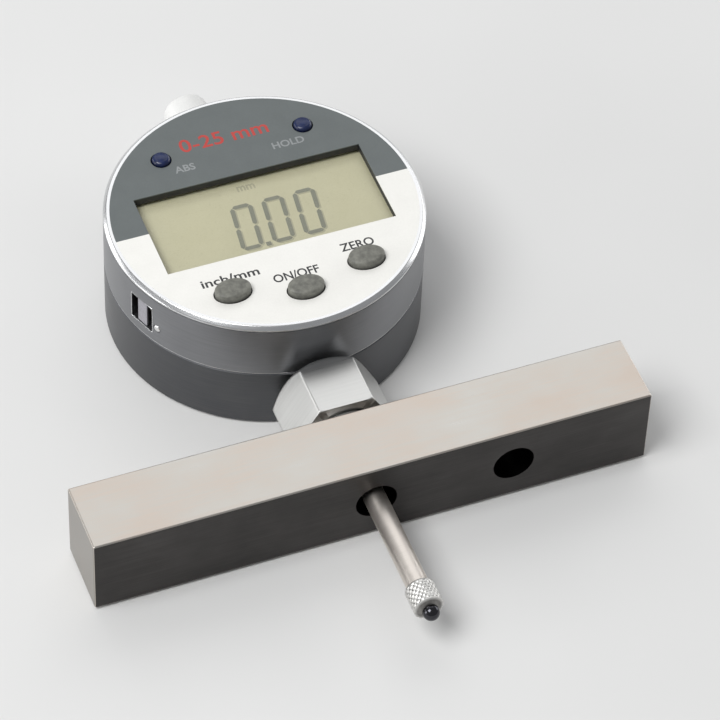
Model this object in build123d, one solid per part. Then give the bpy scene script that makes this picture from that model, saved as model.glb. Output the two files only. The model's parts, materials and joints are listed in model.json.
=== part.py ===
from build123d import *
import math
import os

# Digital depth gauge: an electronic plunger indicator whose stem is clamped, by a split collet and a
# hexagon nut, in a flat steel measuring base.
# Millimetres. The origin is the centre of the base's measuring face, on the spindle's axis.
# +X runs along the base, +Y from the measuring face to the head, +Z out of the display.

# ---- driving dimensions -------------------------------------------------------------------------
# measuring base
BASE_LENGTH = 101.6
BASE_DEPTH = 13.8
BASE_HALF = 8.1
BASE_EDGE_R = 0.35
BASE_HOLE_R = 3.75
OFFSET_HOLE_X = 25.4
THREAD_BOTTOM_Y = 7.0

# how far a cut runs past the face it opens, and a length that spans any part of the head
PAST = 1.0
SPAN = 40.0

# head, seen along Z
HEAD_Y = 56.6
HEAD_R = 28.6
BACK_Z = -8.5
SEAM_Z = 4.4
SEAM_GAP = 0.15
SEAM_CHAMFER = 0.2
BACK_CHAMFER = 0.5
FACE_Z = 16.4
RIM_WIDTH = 1.1
RIM_BEVEL = 0.9
FACE_R = HEAD_R - RIM_WIDTH

# spindle and contact
TRAVEL = 25.4
SPINDLE_R = 2.0
SPINDLE_TOP = 73.0
CONTACT_TOP = -19.8
CONTACT_R = 2.7
CONTACT_LENGTH = 5.4
CONTACT_CONE = 1.0
CONTACT_THREAD_R = 1.0
CONTACT_THREAD = 3.5
SPINDLE_BORE_DEPTH = 4.0
SPINDLE_CHAMFER = 0.3
BALL_R = 1.5
TIP_Y = -27.0

# gaps: a running fit, a slip fit, a small clearance and a wide one
FIT = 0.04
SLIP = 0.1
CLEAR = 0.2
LOOSE = 0.3

# stem, collet and nut
STEM_R = 4.0
STEM_BOTTOM = 8.0
STEM_TOP = 35.8
STEM_BORE_R = 2.8
STEM_SEAT_Y = 20.0
BUSH_SEAT_Y = 90.0

STEM_BUSHES = {"stem_bush_lower": (8.4, 16.0), "stem_bush_upper": (26.0, 33.8)}

COLLET_R = 6.0
COLLET_TOP = 25.0
COLLET_CONE = 1.2
SLIT_BOTTOM = 17.0
SLIT_HALF = 0.4
NUT_FLATS = 17.0
NUT_BOTTOM = 15.2
NUT_TOP = 27.2
NUT_CONE_Y = 25.2
NUT_COLLAR_R = 7.6
NUT_BORE_TOP = 25.4
WASHER_R = 6.9
WASHER_TOP = 14.9

# rear housing, swivel and blocks
REAR_WALL_R = 26.4
SPIGOT_R = 26.0
SPIGOT_BORE_R = 24.2
SPIGOT_TOP = 6.8
WEB_BOTTOM = 2.4
WEB_R = 27.6
JOIN = 0.5
LAND_TOP = 5.7
RING_Z = (5.95, 6.45)
RING_R = 26.9
RING_DEPTH = 0.6
RING_PLAY = 0.05
RING_GAP = 3.0
STOP_R = 27.4
STOP_PIN_R = 0.4
STOP_GROOVE_HALF = 0.6
STOP_PLAY = 0.05
STOP_ANGLE = 20
SWIVEL_LIMIT = 135
FRONT_BORE_R = 27.2
BLOCK_HALF = 12.0
BLOCK_BOTTOM = -5.5
BLOCK_TOP = 4.9
LOWER_BLOCK_TOP_Y = 36.0
UPPER_BLOCK_Y = 76.0
GUIDE_X = 8.5
GUIDE_R = 1.0
GUIDE_Y = (31.0, 78.0)
SPRING_X = -8.4
SPRING_R = 1.7
SPRING_BOTTOM = 30.5
SPRING_WIRE = 0.6
BUFFER_R = 3.8

# carrier, spring ear and dust cap
CARRIER_BOTTOM = 38.0
CARRIER_LENGTH = 7.0
STRIP_LENGTH = 12.0
EAR_THICK = 1.6
EAR_HALF = 2.2
CARRIER_X = (-5.0, 10.4)
CARRIER_Z = (-3.4, 3.2)
CARRIER_SCREW_XY = (-3.6, 42.0)
STRIP_HALF = 5.0
STRIP_THICK = 1.0
CAP_R = 4.15
CAP_START = 85.3
CAP_END = 100.0
CAP_CHAMFER = 0.5
BUSH_R = 2.9
BUSH_Y = (71.0, 89.0)
CAP_ROOM = 0.7

# battery and its cover, with levels measured up from the back face
BATTERY_X = -18.0
BATTERY_Y = HEAD_Y
BATTERY_R = 5.8
BATTERY_HEIGHT = 5.2
COVER_THICK = 1.5
CAP_HOLE_R = 7.6
LUG_ANGLE = 60
COIN_SLOT = (9.0, 1.6, 1.4)
COVER_LEDGE = 1.0
COVER_PLAY = 0.15
CELL_BOTTOM = 2.5
CELL_STEP = 0.4
CELL_CAP_R = 4.6
SEAL_R = (6.3, 7.2)
SEAL_Z = (0.8, 1.0)
LUG_REACH = 6.7
LUG_HALF = 1.3
LUG_Z = (1.65, 2.2)
NOTCH_REACH = 7.0
NOTCH_HALF = 1.6
HOLDER_WALL = 0.75
HOLDER_ROOM = 0.35
HOLDER_BOTTOM = 2.6
HOLDER_FLOOR = 1.0
LEAF_THICK = 0.2
END_LEAF = (7.0, 2.2)
SIDE_LEAF_HALF = 1.5
SIDE_LEAF_Z = (-5.3, -2.0)

# face, window, display and main board
FACE_PLATE_BOTTOM = 14.9
LABEL_THICK = 0.2
WINDOW_X = 21.3
WINDOW_Y = 9.4
GLASS_HALF_X = 22.6
GLASS_HALF_Y = 10.6
GLASS_TOP = 14.1
GLASS_BOTTOM = 13.0
BOARD_TOP = 11.2
BOARD_BOTTOM = 9.6
BOARD_R = 25.6
BOARD_NOTCH = (20.0, 30.0)

# keys, with their places from the head's centre
KEY_TRAVEL = 0.6
KEY_GAP = 0.2
KEY_FLANGE_TOP = 14.6
KEY_FLANGE_BOTTOM = 13.8
OVAL_KEY_TOP = 18.1
ROUND_KEY_TOP = 17.3
DOME_TOP = 12.3
PEG_BOTTOM = DOME_TOP + KEY_TRAVEL + 0.1
OVAL_FLANGE = 0.8
ROUND_FLANGE = 0.7
OVAL_PEG_R = 1.2
ROUND_PEG_R = 0.9
OVAL_KEYS = {"key_unit": (-12.1, -17.2), "key_power": (0.2, -20.5), "key_zero": (12.6, -17.4)}
ROUND_KEYS = {"key_absolute": (-13.45, 17.15), "key_hold": (13.45, 17.15)}
OVAL_HALF_X = 3.3
OVAL_HALF_Y = 2.3
ROUND_KEY_R = 1.7
OVAL_KEY_EDGE = 0.5
ROUND_KEY_EDGE = 0.8

# data port, along a line at an angle about the head's centre
PORT_ANGLE = 201.5
PORT_WIDTH = 5.6
PORT_BOTTOM = 6.7
PORT_TOP = 12.7
TONGUE_WIDTH = 2.3
TONGUE_END = 28.35
SOCKET_WIDTH = 9.8
SOCKET_Z = (7.0, 12.8)
SOCKET_REACH = (21.4, 26.4)
SLOT_Z = (7.4, 12.4)
SLOT_FLOOR = 23.6
TONGUE_Z = (6.9, 12.5)
PORT_SCREW_ANGLE = 209.2
PORT_SCREW_Z = 8.4
PORT_SCREW_R = 0.7
PORT_SCREW_TIP = 25.4

FACE_BOSS_R = 1.7
FOIL_THICK = 0.2
FOIL_HALF_Y = 8.4
ZEBRA_Y = 9.5
ZEBRA_HALF = (17.5, 0.9)
DOME_R = 1.9
MAIN_CHIP_HALF = 5.0
MAIN_CHIP_HEIGHT = 1.4
SENSOR_BOARD = ((-6.6, 6.6), (33.6, 79.4))
SENSOR_BOARD_THICK = 0.9
SENSOR_CHIP = ((-3.0, 3.0), (52.0, 58.0))
SENSOR_CHIP_HEIGHT = 0.4
RIBBON_Z = (6.3, 9.2)
RIBBON_R = 9.0
RIBBON_PITCH = 0.6
RIBBON_HALF = 0.1

# labels and screws
LABEL_SPLIT = 0.8
BACK_SCREW_ANGLES = (55, 125, 235, 305)
BACK_SCREW_RADIUS = 23.8
BACK_SCREW_R = 0.9
BACK_SCREW_HEAD_R = 2.0
BACK_SCREW_HEAD = 1.0
BACK_SCREW_PLAY = 0.1
BACK_BOSS_R = 2.8
BACK_BOSS_TOP = 1.0
BOARD_SCREW_RADIUS = 23.3
BOARD_SCREW_R = 0.7
BOARD_SCREW_ANGLES = (38, 142, 250, 290)
SENSOR_SCREW_X = 5.0
SENSOR_SCREW_Y = (34.8, 78.0)
SENSOR_SCREW_R = 0.6
# each small screw: head radius, head height, shank radius, depth
SENSOR_SCREW = (1.0, 0.5, SENSOR_SCREW_R, 3.0)
CARRIER_SCREW = (1.1, 0.6, SENSOR_SCREW_R, 3.0)
BOARD_SCREW = (0.8, 0.5, BOARD_SCREW_R, 4.6)
SCREW_CROSS = (1.2, 0.25, 0.4)
SCREW_SLOT = (5.0, 0.5, 0.8)
PORT_SCREW_SLOT = (0.4, 0.22)
PORT_SCREW_STEP = 0.25
PORT_SCREW_HEAD = 0.5
CONTACT_STRIP_Z = (8.0, 9.0, 10.0, 11.0)
CONTACT_STRIP_X = (23.8, 27.6)
CONTACT_STRIP = (0.15, 0.5)


# ---- helpers ------------------------------------------------------------------------------------
def disc(x, y, radius, low, high):
    """An upright cylinder about Z."""
    return Pos(x, y, (low + high) / 2) * Cylinder(radius, high - low)


def along(x, z, radius, low, high):
    """A cylinder about an axis parallel to Y."""
    return Pos(x, (low + high) / 2, z) * Rot(X=-90) * Cylinder(radius, high - low)


def block(x, y, z):
    """A box from three (low, high) pairs."""
    middle = [(pair[0] + pair[1]) / 2 for pair in (x, y, z)]
    return Pos(*middle) * Box(x[1] - x[0], y[1] - y[0], z[1] - z[0])


def oval(x, y, half_x, half_y, low, high):
    """An upright elliptical prism."""
    return Pos(x, y, low) * extrude(Ellipse(half_x, half_y), high - low)


def on_head(radius, angle):
    """A point at a radius and angle about the head's centre."""
    turn = math.radians(angle)
    return radius * math.cos(turn), HEAD_Y + radius * math.sin(turn)


def about_head(shape, angle):
    """Turns a shape built along +X of the head's centre by an angle about that centre."""
    return Pos(0, HEAD_Y, 0) * Rot(Z=angle) * shape


def head_ring(outer, inner, low, high):
    return disc(0, HEAD_Y, outer, low, high) - disc(0, HEAD_Y, inner, low, high)


# ---- measuring base and clamp -------------------------------------------------------------------
def base_bar():
    half = BASE_LENGTH / 2
    bar = block((-half, half), (0, BASE_DEPTH), (-BASE_HALF, BASE_HALF))
    bar = fillet(bar.edges(), BASE_EDGE_R)
    bar -= along(0, 0, BASE_HOLE_R, -PAST, THREAD_BOTTOM_Y)
    bar -= along(0, 0, COLLET_R, THREAD_BOTTOM_Y, BASE_DEPTH + PAST)
    bar -= along(OFFSET_HOLE_X, 0, BASE_HOLE_R, -PAST, BASE_DEPTH + PAST)
    return bar


def collet():
    """The threaded collet screwed into the base: its upper end is coned and slit in four."""
    sleeve = along(0, 0, COLLET_R, THREAD_BOTTOM_Y, COLLET_TOP)
    sleeve = chamfer(sleeve.edges().group_by(Axis.Y)[-1], COLLET_CONE)
    sleeve -= along(0, 0, STEM_R, THREAD_BOTTOM_Y - PAST, COLLET_TOP + PAST)
    for angle in (45, 135):
        slit = block((-COLLET_R, COLLET_R), (SLIT_BOTTOM, COLLET_TOP + PAST), (-SLIT_HALF, SLIT_HALF))
        sleeve -= Rot(Y=angle) * slit
    return sleeve


def clamp_washer():
    washer = along(0, 0, WASHER_R, BASE_DEPTH, WASHER_TOP)
    return washer - along(0, 0, COLLET_R + FIT, BASE_DEPTH, WASHER_TOP)


def clamp_nut():
    """A hexagon nut with a flat upwards; the end towards the head is chamfered to a round collar."""
    corner = NUT_FLATS / math.sqrt(3)
    hexagon = Rot(X=90) * extrude(RegularPolygon(corner, 6), NUT_TOP - NUT_BOTTOM)
    low = hexagon.bounding_box().min.Y
    hexagon = Pos(0, NUT_BOTTOM - low, 0) * hexagon
    cone = Cone(corner, NUT_COLLAR_R, NUT_TOP - NUT_CONE_Y)
    cone = Pos(0, (NUT_CONE_Y + NUT_TOP) / 2, 0) * Rot(X=-90) * cone
    hexagon &= along(0, 0, corner + PAST, NUT_BOTTOM, NUT_CONE_Y) + cone
    hexagon -= along(0, 0, COLLET_R + FIT, NUT_BOTTOM - PAST, NUT_BORE_TOP)
    return hexagon - along(0, 0, STEM_R + LOOSE, NUT_CONE_Y - PAST, NUT_TOP + PAST)


def stem():
    return along(0, 0, STEM_R, STEM_BOTTOM, STEM_TOP) - along(0, 0, STEM_BORE_R, STEM_BOTTOM, STEM_TOP)


def stem_bush(low, high):
    return along(0, 0, STEM_BORE_R, low, high) - along(0, 0, SPINDLE_R + FIT, low, high)


# ---- rear housing and what it carries -----------------------------------------------------------
def rear_housing():
    """A metal ring with a lower block for the stem, an upper block for the top bush, a ledge and
    four bosses for the back cover, and a spigot that the display turns on."""
    ring = head_ring(HEAD_R, REAR_WALL_R, BACK_Z, SEAM_Z)
    ring += head_ring(SPIGOT_R, SPIGOT_BORE_R, WEB_BOTTOM, SPIGOT_TOP)
    ring += head_ring(WEB_R, SPIGOT_BORE_R, WEB_BOTTOM, SEAM_Z)
    room = disc(0, HEAD_Y, REAR_WALL_R + JOIN, BACK_Z, SEAM_Z) + disc(0, HEAD_Y, SPIGOT_R, SEAM_Z, BLOCK_TOP)
    width = (-BLOCK_HALF, BLOCK_HALF)
    blocks = block(width, (HEAD_Y - HEAD_R, LOWER_BLOCK_TOP_Y), (BLOCK_BOTTOM, BLOCK_TOP))
    blocks += block(width, (UPPER_BLOCK_Y, HEAD_Y + HEAD_R), (BLOCK_BOTTOM, BLOCK_TOP))
    ring += blocks & room
    for angle in BACK_SCREW_ANGLES:
        x, y = on_head(BACK_SCREW_RADIUS, angle)
        boss = disc(x, y, BACK_BOSS_R, BACK_Z + COVER_THICK, BACK_BOSS_TOP) & room
        ring += boss
        ring -= disc(x, y, BACK_SCREW_R, BACK_Z, 0)
    ring -= head_ring(HEAD_R, SPIGOT_R - RING_DEPTH, RING_Z[0] - RING_PLAY, RING_Z[1] + RING_PLAY)
    ring -= along(0, 0, STEM_R, STEM_SEAT_Y, LOWER_BLOCK_TOP_Y + PAST)
    ring -= along(0, 0, BUSH_R, UPPER_BLOCK_Y - PAST, BUSH_SEAT_Y)
    ring -= along(GUIDE_X, 0, GUIDE_R, GUIDE_Y[0], GUIDE_Y[1])
    ring -= along(SPRING_X, 0, SPRING_R + CLEAR, SPRING_BOTTOM, LOWER_BLOCK_TOP_Y)
    ring -= disc(*on_head(STOP_R, STOP_ANGLE), STOP_PIN_R, WEB_BOTTOM, SEAM_Z)
    for y in SENSOR_SCREW_Y:
        for x in (-SENSOR_SCREW_X, SENSOR_SCREW_X):
            ring -= disc(x, y, SENSOR_SCREW_R, WEB_BOTTOM, BLOCK_TOP)
    outer_edges = ring.edges().filter_by(GeomType.CIRCLE).filter_by(lambda e: abs(e.radius - HEAD_R) < 0.01)
    back_edge = [e for e in outer_edges if abs(e.center().Z - BACK_Z) < 0.01]
    ring = chamfer(back_edge, BACK_CHAMFER)
    outer_edges = ring.edges().filter_by(GeomType.CIRCLE).filter_by(lambda e: abs(e.radius - HEAD_R) < 0.01)
    return chamfer([e for e in outer_edges if abs(e.center().Z - SEAM_Z) < 0.01], SEAM_CHAMFER)


def back_screw_head(x, y, play=0.0):
    """A countersunk head, or with some play the seat for it, with its wide end at the back face."""
    wide = BACK_SCREW_HEAD_R + play
    return Pos(x, y, BACK_Z + BACK_SCREW_HEAD / 2) * Cone(wide, wide - BACK_SCREW_HEAD, BACK_SCREW_HEAD)


def back_cover():
    """A flat plate screwed to the back, with a bayonet opening for the battery."""
    plate = disc(0, HEAD_Y, REAR_WALL_R, BACK_Z, BACK_Z + COVER_THICK)
    for angle in BACK_SCREW_ANGLES:
        x, y = on_head(BACK_SCREW_RADIUS, angle)
        shank = BACK_SCREW_R + 2 * BACK_SCREW_PLAY
        plate -= disc(x, y, shank, BACK_Z - PAST, BACK_Z + COVER_THICK + PAST)
        plate -= back_screw_head(x, y, BACK_SCREW_PLAY)
    plate -= disc(BATTERY_X, BATTERY_Y, CAP_HOLE_R, BACK_Z - PAST, BACK_Z + COVER_THICK + PAST)
    ledge = disc(BATTERY_X, BATTERY_Y, CAP_HOLE_R, BACK_Z + COVER_LEDGE, BACK_Z + COVER_THICK)
    ledge -= disc(BATTERY_X, BATTERY_Y, BATTERY_R + CELL_STEP, BACK_Z, 0)
    for angle in (0, 180):
        notch = block((BATTERY_R, NOTCH_REACH), (-NOTCH_HALF, NOTCH_HALF), (BACK_Z, BACK_Z + 2 * PAST))
        ledge -= Pos(BATTERY_X, BATTERY_Y, 0) * Rot(Z=angle) * notch
    return plate + ledge


def back_screws():
    """Four countersunk slotted screws, flush with the back cover."""
    screws = []
    for angle in BACK_SCREW_ANGLES:
        x, y = on_head(BACK_SCREW_RADIUS, angle)
        shank = disc(x, y, BACK_SCREW_R, BACK_Z + BACK_SCREW_HEAD / 2, -BACK_SCREW_HEAD / 2)
        screw = back_screw_head(x, y) + shank
        screw -= Pos(x, y, BACK_Z) * Rot(Z=angle) * Box(*SCREW_SLOT)
        screws.append(screw)
    return screws


def battery_cover():
    """A round bayonet cover with a coin slot: two lugs turn under the back cover's ledge."""
    cover = disc(BATTERY_X, BATTERY_Y, CAP_HOLE_R - COVER_PLAY, BACK_Z, BACK_Z + SEAL_Z[0] - 0.1)
    neck = disc(BATTERY_X, BATTERY_Y, BATTERY_R + CLEAR, BACK_Z, BACK_Z + LUG_Z[0] + COVER_PLAY)
    lugs = block((-LUG_REACH, LUG_REACH), (-LUG_HALF, LUG_HALF), (BACK_Z + LUG_Z[0], BACK_Z + LUG_Z[1]))
    neck += Pos(BATTERY_X, BATTERY_Y, 0) * Rot(Z=LUG_ANGLE) * lugs
    slot = Pos(BATTERY_X, BATTERY_Y, BACK_Z) * Rot(Z=LUG_ANGLE) * Box(*COIN_SLOT)
    return cover + neck - slot


def battery_seal():
    """The rubber ring under the battery cover's rim."""
    low, high = BACK_Z + SEAL_Z[0], BACK_Z + SEAL_Z[1]
    return disc(BATTERY_X, BATTERY_Y, SEAL_R[1], low, high) - disc(BATTERY_X, BATTERY_Y, SEAL_R[0], low, high)


def battery_cell():
    low = BACK_Z + CELL_BOTTOM
    can = disc(BATTERY_X, BATTERY_Y, BATTERY_R, low, low + BATTERY_HEIGHT - CELL_STEP)
    return can + disc(BATTERY_X, BATTERY_Y, CELL_CAP_R, low, low + BATTERY_HEIGHT)


def battery_holder():
    """The plastic cup that holds the cell on the sensor side."""
    low = BACK_Z + HOLDER_BOTTOM
    high = low + BATTERY_HEIGHT + LOOSE + HOLDER_FLOOR
    bore = BATTERY_R + HOLDER_ROOM
    cup = disc(BATTERY_X, BATTERY_Y, bore + HOLDER_WALL, low, high)
    return cup - disc(BATTERY_X, BATTERY_Y, bore, low - PAST, high - HOLDER_FLOOR)


def battery_springs():
    """The two leaf contacts: one presses the cell's end, the other its side."""
    top = BACK_Z + HOLDER_BOTTOM + BATTERY_HEIGHT + LOOSE
    end_leaf = Pos(BATTERY_X, BATTERY_Y, top - LEAF_THICK) * Box(*END_LEAF, LEAF_THICK)
    side_leaf = block((-LEAF_THICK / 2, 0), (-SIDE_LEAF_HALF, SIDE_LEAF_HALF), SIDE_LEAF_Z)
    return [end_leaf, Pos(BATTERY_X + BATTERY_R + LEAF_THICK / 2, BATTERY_Y, 0) * side_leaf]


def top_bush():
    return along(0, 0, BUSH_R, *BUSH_Y) - along(0, 0, SPINDLE_R + FIT, *BUSH_Y)


def dust_cap():
    """The blind cap over the spindle's free end."""
    cap = along(0, 0, CAP_R, CAP_START, CAP_END)
    cap = chamfer(cap.edges().group_by(Axis.Y)[-1], CAP_CHAMFER)
    return cap - along(0, 0, BUSH_R, CAP_START - PAST, SPINDLE_TOP + TRAVEL + CAP_ROOM)


def guide_pin():
    return along(GUIDE_X, 0, GUIDE_R, GUIDE_Y[0], GUIDE_Y[1])


def buffer_washer():
    """The rubber washer that stops the spindle at its lower end."""
    washer = along(0, 0, BUFFER_R, STEM_TOP, CARRIER_BOTTOM - LOOSE)
    return washer - along(0, 0, SPINDLE_R + LOOSE, STEM_TOP - PAST, CARRIER_BOTTOM)


def return_spring():
    """The tension spring beside the spindle, as a sleeve of its outer and inner diameters."""
    high = CARRIER_BOTTOM + CARRIER_LENGTH - EAR_THICK
    sleeve = along(SPRING_X, 0, SPRING_R, SPRING_BOTTOM, high)
    return sleeve - along(SPRING_X, 0, SPRING_R - SPRING_WIRE, SPRING_BOTTOM - PAST, high + PAST)


def sensor_board():
    """The fixed board that reads the moving strip; it bridges the two blocks."""
    board = block(*SENSOR_BOARD, (BLOCK_TOP, BLOCK_TOP + SENSOR_BOARD_THICK))
    for y in SENSOR_SCREW_Y:
        for x in (-SENSOR_SCREW_X, SENSOR_SCREW_X):
            board -= disc(x, y, SENSOR_SCREW_R + 0.1, BLOCK_TOP - PAST, BLOCK_TOP + 2 * PAST)
    return board


def sensor_chip():
    low = BLOCK_TOP + SENSOR_BOARD_THICK
    return block(*SENSOR_CHIP, (low, low + SENSOR_CHIP_HEIGHT))


def pan_screw(x, y, seat, head_r, head_height, shank_r, depth, upwards=1):
    """A small cross-recessed screw: its head stands on the seat and its shank goes the other way."""
    head = disc(x, y, head_r, *sorted((seat, seat + upwards * head_height)))
    shank = disc(x, y, shank_r, *sorted((seat, seat - upwards * depth)))
    screw = head + shank
    for angle in (0, 90):
        cross = Box(head_r * SCREW_CROSS[0], *SCREW_CROSS[1:])
        screw -= Pos(x, y, seat + upwards * head_height) * Rot(Z=angle) * cross
    return screw


def sensor_screws():
    seat = BLOCK_TOP + SENSOR_BOARD_THICK
    places = [(x, y) for y in SENSOR_SCREW_Y for x in (-SENSOR_SCREW_X, SENSOR_SCREW_X)]
    return [pan_screw(x, y, seat, *SENSOR_SCREW) for x, y in places]


def flex_cable():
    """The clock-spring ribbon between the fixed and the turning board, as a two-turn spiral."""
    ribbon = None
    radius = RIBBON_R
    centre = 0.0
    for side in (1, -1, 1, -1):
        arc = disc(centre, HEAD_Y, radius + RIBBON_HALF, *RIBBON_Z)
        arc -= disc(centre, HEAD_Y, radius - RIBBON_HALF, *RIBBON_Z)
        half_plane = block((-SPAN, SPAN), sorted((HEAD_Y, HEAD_Y + side * SPAN)), RIBBON_Z)
        piece = arc & half_plane
        ribbon = piece if ribbon is None else ribbon + piece
        centre += side * RIBBON_PITCH
        radius += RIBBON_PITCH
    return ribbon


def swivel_ring():
    """The split retaining ring in the spigot's groove."""
    ring = head_ring(RING_R, SPIGOT_R - RING_DEPTH, *RING_Z)
    return ring - about_head(block((0, SPAN), (-RING_GAP / 2, RING_GAP / 2), RING_Z), 90)


def stop_pin():
    """The pin that meets the ends of the display's groove."""
    return disc(*on_head(STOP_R, STOP_ANGLE), STOP_PIN_R, WEB_BOTTOM, SEAM_Z + SEAM_GAP + STOP_PIN_R)


# ---- spindle and what rides on it ---------------------------------------------------------------
def spindle():
    rod = along(0, 0, SPINDLE_R, CONTACT_TOP, SPINDLE_TOP)
    rod = chamfer(rod.edges().group_by(Axis.Y)[-1], SPINDLE_CHAMFER)
    return rod - along(0, 0, CONTACT_THREAD_R, CONTACT_TOP - PAST, CONTACT_TOP + SPINDLE_BORE_DEPTH)


def contact_point():
    """The screw-in measuring contact with its gripping body, coned towards the ball."""
    low = CONTACT_TOP - CONTACT_LENGTH
    body = along(0, 0, CONTACT_R, low + CONTACT_CONE, CONTACT_TOP)
    body += Pos(0, low + CONTACT_CONE / 2, 0) * Rot(X=-90) * Cone(BALL_R, CONTACT_R, CONTACT_CONE)
    body += along(0, 0, CONTACT_THREAD_R, CONTACT_TOP, CONTACT_TOP + CONTACT_THREAD)
    return body - Pos(0, TIP_Y + BALL_R, 0) * Sphere(BALL_R)


def contact_ball():
    return Pos(0, TIP_Y + BALL_R, 0) * Sphere(BALL_R)


def scale_carrier():
    """The clamp block on the spindle, with a guide fork's eye and the spring's ear."""
    high = CARRIER_BOTTOM + CARRIER_LENGTH
    body = block(CARRIER_X, (CARRIER_BOTTOM, high), CARRIER_Z)
    body += block((SPRING_X - SPRING_R - 0.1, 0), (high - EAR_THICK, high), (-EAR_HALF, EAR_HALF))
    body -= along(0, 0, SPINDLE_R, CARRIER_BOTTOM - PAST, high + PAST)
    body -= along(GUIDE_X, 0, GUIDE_R + FIT, CARRIER_BOTTOM - PAST, high + PAST)
    return body - disc(*CARRIER_SCREW_XY, SENSOR_SCREW_R, CARRIER_Z[0] - PAST, 1.0)


def carrier_screw():
    return pan_screw(*CARRIER_SCREW_XY, CARRIER_Z[0], *CARRIER_SCREW, upwards=-1)


def scale_strip():
    """The moving strip that the sensor reads."""
    low = CARRIER_Z[1]
    span = (CARRIER_BOTTOM, CARRIER_BOTTOM + STRIP_LENGTH)
    return block((-STRIP_HALF, STRIP_HALF), span, (low, low + STRIP_THICK))


# ---- display head -------------------------------------------------------------------------------
def port_cut(low, high, width, inner, outer):
    """A block that reaches out along +X from the head's centre, at the port's height."""
    return about_head(block((inner, outer), (-width / 2, width / 2), (low, high)), PORT_ANGLE)


def port_screw_space(radius, inner, outer):
    """A cylinder that points out of the head's side at the port screw's angle and height."""
    rod = Pos((inner + outer) / 2, 0, PORT_SCREW_Z) * Rot(Y=90) * Cylinder(radius, outer - inner)
    return about_head(rod, PORT_SCREW_ANGLE)


def port_screw():
    """The small slotted screw beside the port, which holds the socket to the wall."""
    under_head = HEAD_R - PORT_SCREW_HEAD
    screw = port_screw_space(PORT_SCREW_R, under_head, HEAD_R)
    screw += port_screw_space(PORT_SCREW_R - PORT_SCREW_STEP, PORT_SCREW_TIP, under_head)
    slot = Pos(HEAD_R, 0, PORT_SCREW_Z) * Box(PORT_SCREW_SLOT[0], 2 * PORT_SCREW_R, PORT_SCREW_SLOT[1])
    return screw - about_head(slot, PORT_SCREW_ANGLE)


def front_housing():
    """The turning shell: a bearing land at its foot, a wall, and a groove for the stop pin."""
    low = SEAM_Z + SEAM_GAP
    high = FACE_Z - RIM_WIDTH
    shell = head_ring(HEAD_R, FRONT_BORE_R, low, high)
    shell += head_ring(HEAD_R - JOIN, SPIGOT_R + FIT, low, LAND_TOP)
    shell -= disc(0, HEAD_Y, FACE_R, FACE_PLATE_BOTTOM, high + PAST)
    groove = head_ring(STOP_R + STOP_GROOVE_HALF, STOP_R - STOP_GROOVE_HALF, low - PAST, low + JOIN)
    clear = STOP_R * math.sin(math.radians(180 - SWIVEL_LIMIT)) - STOP_PIN_R - STOP_PLAY
    shell -= groove - about_head(block((0, SPAN), (-clear, clear), (0, SPAN)), STOP_ANGLE + 180)
    shell -= port_cut(PORT_BOTTOM, PORT_TOP, PORT_WIDTH, FRONT_BORE_R - PAST, HEAD_R + PAST)
    shell -= port_screw_space(PORT_SCREW_R + SLIP, HEAD_R - PORT_SCREW_HEAD, HEAD_R + PAST)
    shell -= port_screw_space(PORT_SCREW_R - PORT_SCREW_STEP, FRONT_BORE_R - PAST, HEAD_R)
    foot = shell.edges().filter_by(GeomType.CIRCLE).filter_by(lambda e: abs(e.radius - HEAD_R) < 0.01)
    return chamfer([e for e in foot if abs(e.center().Z - low) < 0.01], SEAM_CHAMFER)


def bezel_ring():
    """The bright rim round the face, bevelled on the outside."""
    low = FACE_Z - RIM_WIDTH
    ring = disc(0, HEAD_Y, HEAD_R, low, FACE_Z)
    ring = chamfer(ring.edges().group_by(Axis.Z)[-1], RIM_BEVEL)
    return ring - disc(0, HEAD_Y, FACE_R - SLIP / 2, low - PAST, FACE_Z + PAST)


def key_holes(low, high):
    """The openings for the five keys, with their running gap."""
    holes = []
    for x, y in OVAL_KEYS.values():
        holes.append(oval(x, HEAD_Y + y, OVAL_HALF_X + KEY_GAP, OVAL_HALF_Y + KEY_GAP, low, high))
    for x, y in ROUND_KEYS.values():
        holes.append(disc(x, HEAD_Y + y, ROUND_KEY_R + KEY_GAP, low, high))
    return holes


def window_cut(low, high):
    return block((-WINDOW_X, WINDOW_X), (HEAD_Y - WINDOW_Y, HEAD_Y + WINDOW_Y), (low, high))


def face_plate():
    """The moulded plate under the labels: display window, key holes and four screw bosses."""
    high = FACE_Z - LABEL_THICK
    plate = disc(0, HEAD_Y, FACE_R - SLIP, FACE_PLATE_BOTTOM, high)
    for angle in BOARD_SCREW_ANGLES:
        x, y = on_head(BOARD_SCREW_RADIUS, angle)
        plate += disc(x, y, FACE_BOSS_R, BOARD_TOP, FACE_PLATE_BOTTOM)
        plate -= disc(x, y, BOARD_SCREW_R, BOARD_TOP - PAST, FACE_PLATE_BOTTOM + JOIN)
    plate -= window_cut(FACE_PLATE_BOTTOM - PAST, high + PAST)
    for hole in key_holes(FACE_PLATE_BOTTOM - PAST, high + PAST):
        plate -= hole
    return plate


def face_label(upper):
    """One of the two printed sheets on the face; they meet on a straight line beside the window."""
    low = FACE_Z - LABEL_THICK
    sheet = disc(0, HEAD_Y, FACE_R - SLIP, low, FACE_Z)
    split = HEAD_Y + LABEL_SPLIT
    span = (split, split + SPAN) if upper else (split - SPAN, split)
    sheet &= block((-SPAN, SPAN), span, (low, FACE_Z))
    sheet -= window_cut(low - PAST, FACE_Z + PAST)
    for hole in key_holes(low - PAST, FACE_Z + PAST):
        sheet -= hole
    return sheet


def window_pane():
    span = (HEAD_Y - GLASS_HALF_Y, HEAD_Y + GLASS_HALF_Y)
    return block((-GLASS_HALF_X, GLASS_HALF_X), span, (GLASS_TOP, FACE_PLATE_BOTTOM))


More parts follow.
